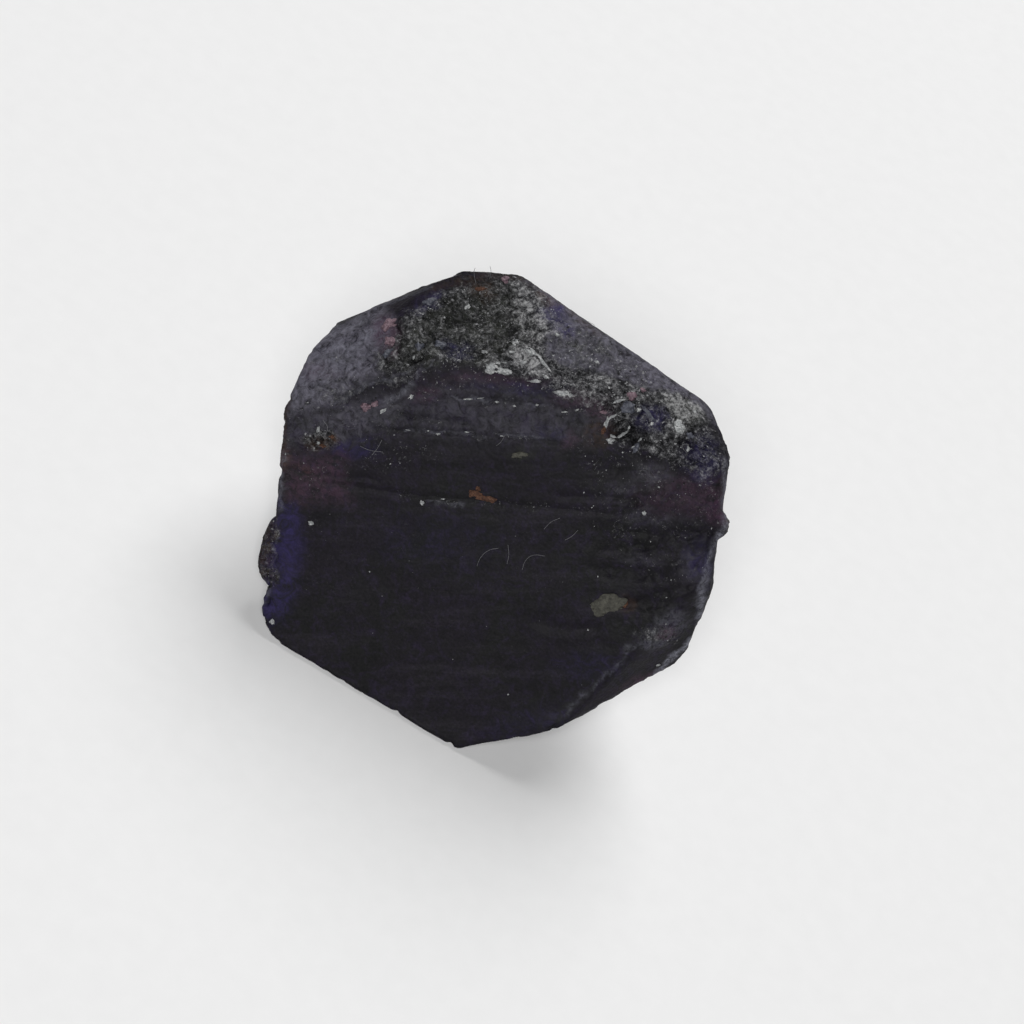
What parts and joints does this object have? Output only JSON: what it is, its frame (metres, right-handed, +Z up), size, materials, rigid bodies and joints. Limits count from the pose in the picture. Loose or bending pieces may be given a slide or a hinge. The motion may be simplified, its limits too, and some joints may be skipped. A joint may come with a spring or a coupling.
{
  "type": "rough sapphire crystal",
  "caption": "Rough, near-black violet corundum crystal, six-sided and tapering to the back, lying on one side facet with its large end face tipped up towards the front.",
  "frame": {"origin": "middle of the footprint box of the resting stone, on the surface it lies on", "axes": "+Z up, +X along the front lower edge of the large end face, which is also the stone's longest extent, and -Y towards the viewer, the way the large end face looks"},
  "size_m": [0.022, 0.0182, 0.0166],
  "materials": {
    "corundum": "natural crystal surface, near-black violet, dull to waxy, with pale grey-green crust and dust on the upper broken slopes"
  },
  "bodies": {
    "root": {"rough_sapphire": "corundum"}
  },
  "joints": []
}
